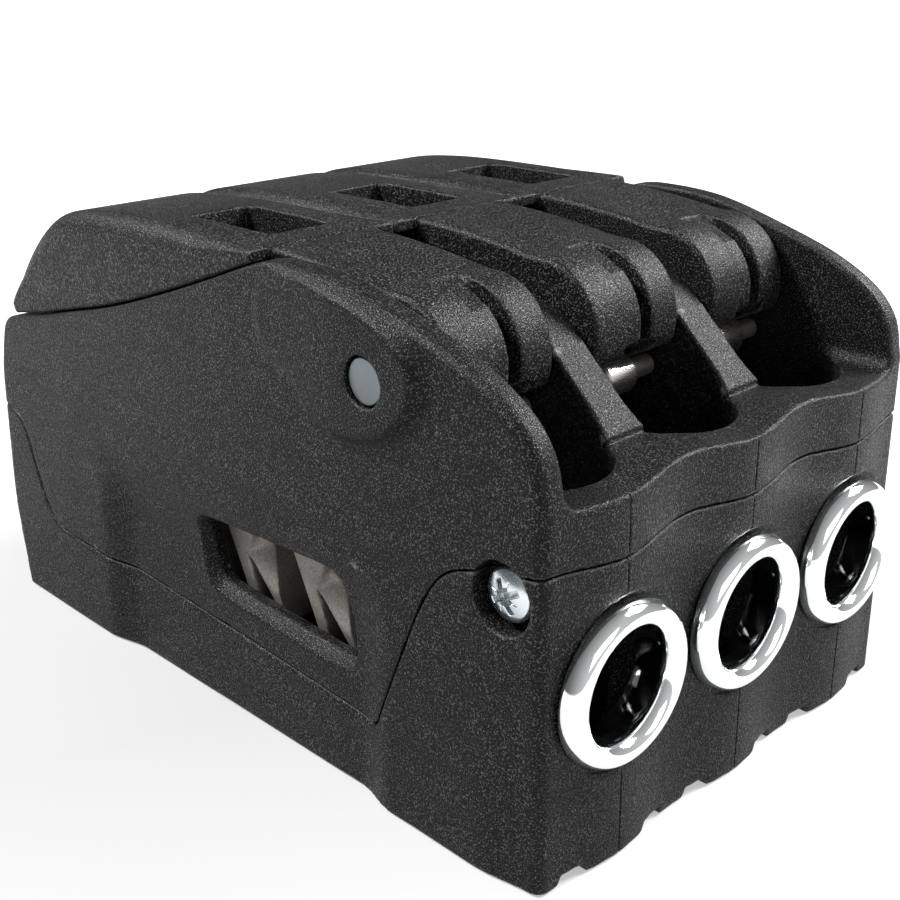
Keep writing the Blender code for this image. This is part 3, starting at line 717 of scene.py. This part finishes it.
def crank_seat(x, z, radius):
    """The seat round the crank pin, open downwards and forward up a slope."""
    across, up = x - CRANK[0], z - CRANK[1]
    under = up * cos(SEAT_SLOPE) - across * sin(SEAT_SLOPE) - radius
    return meet(under, -across - radius, radius)


def levers():
    step = 0.42
    axes = (stepped(-164.5, -24, step), stepped(-18, 18, step), stepped(63, 97, step))
    mesh = solid_mesh("lever", lever, axes, 0.35)
    for m in MODULES:
        n = m + 2
        piece(f"lever_{n}_moulding", moved(mesh, along_y(m * PITCH)), LEVER, f"lever_{n}",
              f"lever_{n}")


# ---------------------------------------------------------------- turned pieces

def turned(name, profile, axis, at, segments=96, closed=True):
    """Revolves an (along, radius) profile about an axis through at; smooth, in metres."""
    count = len(profile)
    angles = np.arange(segments) * 2 * pi / segments
    along = np.array([p[0] for p in profile])[None, :].repeat(segments, 0)
    radius = np.array([p[1] for p in profile])[None, :]
    p, q = radius * np.cos(angles)[:, None], radius * np.sin(angles)[:, None]
    order = {"x": (along, p, q), "y": (q, along, p), "z": (p, q, along)}[axis]
    points = np.stack(order, -1).reshape(-1, 3) + np.array(at)
    k, i = np.meshgrid(np.arange(segments), np.arange(count if closed else count - 1),
                       indexing="ij")
    k2, i2 = (k + 1) % segments, (i + 1) % count
    quads = np.stack([k * count + i, k * count + i2, k2 * count + i2, k2 * count + i], -1)
    mesh = mesh_of(name, (points + (FRONT, 0, 0)) * MM, quads.reshape(-1, 4))
    mesh.set_sharp_from_angle(angle=radians(40))
    return mesh


def arc(at, radius, start, end, steps):
    """(along, radius) points of a fillet; angles in degrees from the axis direction."""
    return [(at[0] + radius * cos(radians(start + (end - start) * k / steps)),
             at[1] + radius * sin(radians(start + (end - start) * k / steps)))
            for k in range(steps + 1)]


def rod_profile(low, high, radius, chamfer=0.35):
    """A solid rod with rolled end edges; its profile ends just off the axis."""
    core = 0.001
    return [(low, core), *arc((low + chamfer, radius - chamfer), chamfer, 180, 90, 4),
            *arc((high - chamfer, radius - chamfer), chamfer, 90, 0, 4), (high, core)]


def ferrules():
    """Rolled stainless lips round the rope holes, with a tube into the wall."""
    inner, outer = FERRULE_BORE, FERRULE_R + 0.3
    middle, half = (inner + outer) / 2, (outer - inner) / 2
    widest = FERRULE_PROUD - LIP_DEPTH
    lip = [(widest + LIP_DEPTH * cos(radians(a)), middle + half * sin(radians(a)))
           for a in range(-100, 96, 5)]
    profile = [(-FERRULE_DEPTH, FERRULE_TUBE), (-FERRULE_DEPTH, inner + 0.6),
               (-FERRULE_DEPTH + 0.4, inner + 0.25), *lip, (widest - 0.3, outer - 0.6),
               (widest - 0.3, FERRULE_TUBE)]
    for m in MODULES:
        at = (0, m * PITCH, ROPE_Z)
        for end in ("front", "rear"):
            shown = profile
            if end == "rear":
                shown = [(REAR_X + FERRULE_PROUD - a, r) for a, r in profile][::-1]
            mesh = turned(f"{end}_ferrule_{m + 2}_turned", shown, "x", at, 128)
            node = f"{end}_ferrule_{m + 2}"
            piece(f"{node}_turned", mesh, CHROME, node, "housing")


def rods():
    """Pivot pin, crank rods and their collars."""
    end = CHEEK_Y + BOSS_HEIGHT - 0.7
    mesh = turned("pivot", rod_profile(-end, end, PIVOT_R, 0.4), "y", (PIVOT[0], 0, PIVOT[1]))
    piece("pivot_pin_turned", mesh, PIN_STEEL, "pivot_pin", "housing")
    for m in MODULES:
        n = m + 2
        at = (CRANK[0], m * PITCH, CRANK[1])
        mesh = turned("rod", rod_profile(-12, 12, CRANK_R, 0.5), "y", at, 64)
        piece(f"crank_pin_{n}_turned", mesh, ROD_STEEL, f"crank_pin_{n}", f"lever_{n}")
        inner = CRANK_R + 0.15
        low, high = COLLAR_Y
        tube = [(low, inner), (low, COLLAR_R - 0.3), (low + 0.3, COLLAR_R),
                *arc((high - 0.8, COLLAR_R - 0.8), 0.8, 90, 0, 6), (high, inner)]
        mesh = turned("collar", tube, "y", at, 64)
        piece(f"crank_collar_{n}_turned", mesh, COLLAR_STEEL, f"crank_collar_{n}",
              f"lever_{n}")


def screw_head(x, y, z):
    """Pan head with a cross recess; its flat seat faces inwards (+y)."""
    seat = -(CHEEK_Y - CLAMP_RECESS) - 0.3
    px, pz = x - CLAMP[0], z - CLAMP[1]
    off = np.hypot(px, pz)
    crown = np.sqrt(off ** 2 + (y - (seat + 5.4)) ** 2) - 8.7
    head = meet(meet(off - CLAMP_HEAD_R, y - seat, 0.2), crown, 0.9)
    turn = radians(28)
    a, b = px * cos(turn) + pz * sin(turn), pz * cos(turn) - px * sin(turn)
    depth = (y - (seat - 1.0))
    taper = np.clip(-depth * 0.25, -1, 1)
    reach = 2.55 + taper
    cross = np.minimum(np.maximum(np.abs(a) - 0.52, np.abs(b) - reach),
                       np.maximum(np.abs(b) - 0.52, np.abs(a) - reach))
    square = np.maximum(np.abs(a), np.abs(b)) - 1.05 - taper * 0.5
    recess = np.maximum(np.minimum(cross, square), depth)
    c, d = (a + b) / 2 ** 0.5, (b - a) / 2 ** 0.5
    ticks = np.minimum(np.maximum(np.abs(c) - 0.10, np.abs(d) - 2.6),
                       np.maximum(np.abs(d) - 0.10, np.abs(c) - 2.6))
    ticks = np.maximum(ticks, -crown - 0.16)
    return cut(cut(head, recess, 0.12), ticks, 0.04)


def fasteners():
    step = 0.11
    seat = -(CHEEK_Y - CLAMP_RECESS)
    reach = CLAMP_HEAD_R + 0.5
    axes = (stepped(CLAMP[0] - reach, CLAMP[0] + reach, step),
            stepped(seat - 4.2, seat + 0.3, step),
            stepped(CLAMP[1] - reach, CLAMP[1] + reach, step))
    mesh = solid_mesh("clamp_head", screw_head, axes, 0.6)
    piece("clamp_screw_head", mesh, SCREW_STEEL, "clamp_bolt", "housing")
    at = (CLAMP[0], 0, CLAMP[1])
    end = box("clamp_nut")[1].y - 0.6
    mesh = turned("shank", rod_profile(seat - 0.28, end, 2.5, 0.4), "y", at, 48)
    piece("clamp_screw_shank", mesh, SCREW_STEEL, None, "housing")
    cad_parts["clamp_nut"].data.materials.clear()
    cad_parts["clamp_nut"].data.materials.append(SCREW_STEEL)


# ---------------------------------------------------------------- dominoes and slides

def domino(x, y, z):
    """A domino hung upright at the origin: plate, folded nose, rope hole."""
    field = meet(outline(DOMINO_PROFILE, x, z), np.abs(y) - DOMINO_HALF, 0.4)
    side_x = np.interp(z, (-43, -27.6, -24.5, -22.7), (7.3, 1.6, 5.6, 7.5))
    fold_y = 5.5 + 5.8 * np.clip((-17 - z) / 20, 0, 1)
    run, rise = DOMINO_HALF - fold_y, 7.6 - side_x
    fold = ((x - side_x) * run + (np.abs(y) - DOMINO_HALF) * rise) / np.hypot(run, rise)
    field = meet(field, np.minimum(fold, np.maximum(np.abs(x) - DOMINO_PLATE_X, z + 20)), 0.1)
    rope_hole = np.hypot(y, z - DOMINO_HOLE_Z) - DOMINO_HOLE_R - 0.05 * np.maximum(x, 0)
    field = cut(field, rope_hole, 0.8)
    window = np.maximum(np.abs(z + 9.3) - 4.1, np.maximum(0.4 - y, y - 4.6))
    field = cut(field, window, 0.3)
    below = -27.6 - z
    wedge = np.maximum(1.6 - 0.1 * below - x, x - 1.6 - 0.37 * below)
    field = cut(field, np.maximum(wedge, DOMINO_HALF - 8 - np.abs(y)), 0.1)
    return cut(field, np.hypot(x, z) - PIN_BORE_R, 0.2)


def dominoes():
    step = 0.4
    axes = [np.asarray(a) for a in (stepped(-3.5, 8.7, step), stepped(-12.7, 12.7, step),
                                    stepped(-44.2, 5.2, step))]
    x, y, z = np.meshgrid(*axes, indexing="ij", sparse=True)
    field = np.broadcast_to(domino(x, y, z), tuple(len(a) for a in axes))
    points, quads = surface(field.astype(np.float32), axes)
    mesh = mesh_of("domino", points * MM, quads)
    for m in MODULES:
        for k, (px, pz) in enumerate(DOMINO_PINS):
            place = Matrix.Translation(((px + FRONT) * MM, m * PITCH * MM, pz * MM))
            place = place @ Matrix.Rotation(-DOMINO_LEAN, 4, "Y")
            node = f"domino_{m + 2}_{k + 1}"
            piece(f"{node}_cast", moved(mesh, place), DOMINO, node, node)


def plain_steel_nodes():
    """Hidden rods and slides keep their CAD shape and get finished metal."""
    nodes = [(f"domino_pin_{k}", ROD_STEEL) for k in (1, 2, 3, 4)]
    nodes += [(f"release_slide_{k}", SLIDE_STEEL) for k in (1, 2, 3)]
    for name, material in nodes:
        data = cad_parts[name].data
        data.materials.clear()
        data.materials.append(material)


# ---------------------------------------------------------------- stage

SKY = (0.13, 0.60)                 # behind the clutch and ahead of it
FLOOR_GLOW = (0.25, 1.0)           # strength near the clutch and further off
FLOOR_REACH = (0.12, 0.45)         # distances in metres between which it grows,
FLOOR_DIMMEST = (-0.12, -0.04)     # from this place beside the clutch


def area_light(name, position, target, size, power, colour=(1, 1, 1)):
    data = bpy.data.lights.new(name, "AREA")
    data.shape = "RECTANGLE"
    data.size, data.size_y = size
    data.energy = power
    data.color = colour
    light = bpy.data.objects.new(name, data)
    light.location = position
    light.rotation_euler = (Vector(target) - Vector(position)).to_track_quat("-Z", "Y").to_euler()
    bpy.context.scene.collection.objects.link(light)


def surroundings():
    """White behind the clutch; it is lit by, and mirrors, a sky that is bright in front."""
    world = bpy.data.worlds.new("studio")
    world.use_nodes = True
    tree = world.node_tree
    coords = tree.nodes.new("ShaderNodeTexCoord")
    parts = tree.nodes.new("ShaderNodeSeparateXYZ")
    tree.links.new(coords.outputs["Generated"], parts.inputs["Vector"])
    ahead = spread(tree, parts.outputs["X"], -0.3, 0.9, 0, 1)
    sky = mixed(tree, ahead, (SKY[0],) * 3, (SKY[1],) * 3)
    path = tree.nodes.new("ShaderNodeLightPath")
    seen = mixed(tree, path.outputs["Is Camera Ray"], sky, (1.0, 1.0, 1.0))
    tree.links.new(seen, tree.nodes["Background"].inputs["Color"])
    bpy.context.scene.world = world


def floor():
    """A pale floor that glows more further off, so that it ends in the white round it."""
    mesh = bpy.data.meshes.new("floor")
    side = 6.0
    mesh.from_pydata([(-side, -side, 0), (side, -side, 0), (side, side, 0), (-side, side, 0)],
                     [], [(0, 1, 2, 3)])
    mat, tree, shader = new_material("pale_floor")
    tree.links.new(mixed(tree, noise(tree, 6, 2), (0.25, 0.25, 0.25), (0.27, 0.27, 0.27)),
                   shader.inputs["Base Color"])
    shader.inputs["Roughness"].default_value = 0.9
    shader.inputs["Emission Color"].default_value = (1, 1, 1, 1)
    coords = tree.nodes.new("ShaderNodeTexCoord")
    away = tree.nodes.new("ShaderNodeVectorMath")
    away.operation = "LENGTH"
    tree.links.new(coords.outputs["Object"], away.inputs[0])
    glow = spread(tree, away.outputs["Value"], *FLOOR_REACH, *FLOOR_GLOW)
    tree.links.new(glow, shader.inputs["Emission Strength"])
    mesh.materials.append(mat)
    obj = bpy.data.objects.new("floor", mesh)
    obj.location = (*FLOOR_DIMMEST, -0.0002)
    bpy.context.scene.collection.objects.link(obj)


def lights():
    """Two high soft lights behind the clutch, and a wide one ahead that the rings mirror."""
    middle = (0, 0, 0.05)
    area_light("back_right", (0.36, 0.68, 0.70), middle, (0.40, 0.40), 30)
    area_light("back_left", (-0.50, -0.46, 0.80), middle, (0.30, 0.22), 26)
    area_light("ahead", (0.95, -0.12, 0.52), middle, (0.8, 0.45), 2.6)


def camera():
    """The camera stands ahead of the front left corner and looks down on the clutch."""
    azimuth, elevation, roll = radians(44.470), radians(23.366), radians(-0.2365)
    back = Vector((sin(azimuth) * cos(elevation), -cos(azimuth) * cos(elevation), sin(elevation)))
    right = Vector((cos(azimuth), sin(azimuth), 0))
    up = back.cross(right)
    right, up = (right * cos(roll) + up * sin(roll), up * cos(roll) - right * sin(roll))
    data = bpy.data.cameras.new("photo_view")
    data.sensor_width = 36
    data.lens = 52.66
    data.shift_x, data.shift_y = -0.0650, 0.0454
    data.clip_start, data.clip_end = 0.01, 20
    obj = bpy.data.objects.new("photo_view", data)
    place = Matrix((right, up, back)).transposed().to_4x4()
    place.translation = ((112.493 + FRONT) * MM, -0.173707, 0.144081)
    obj.matrix_world = place
    bpy.context.scene.collection.objects.link(obj)
    bpy.context.scene.camera = obj


housing()
levers()
ferrules()
rods()
fasteners()
dominoes()
plain_steel_nodes()
surroundings()
floor()
lights()
camera()
bpy.context.scene.view_settings.view_transform = "Standard"
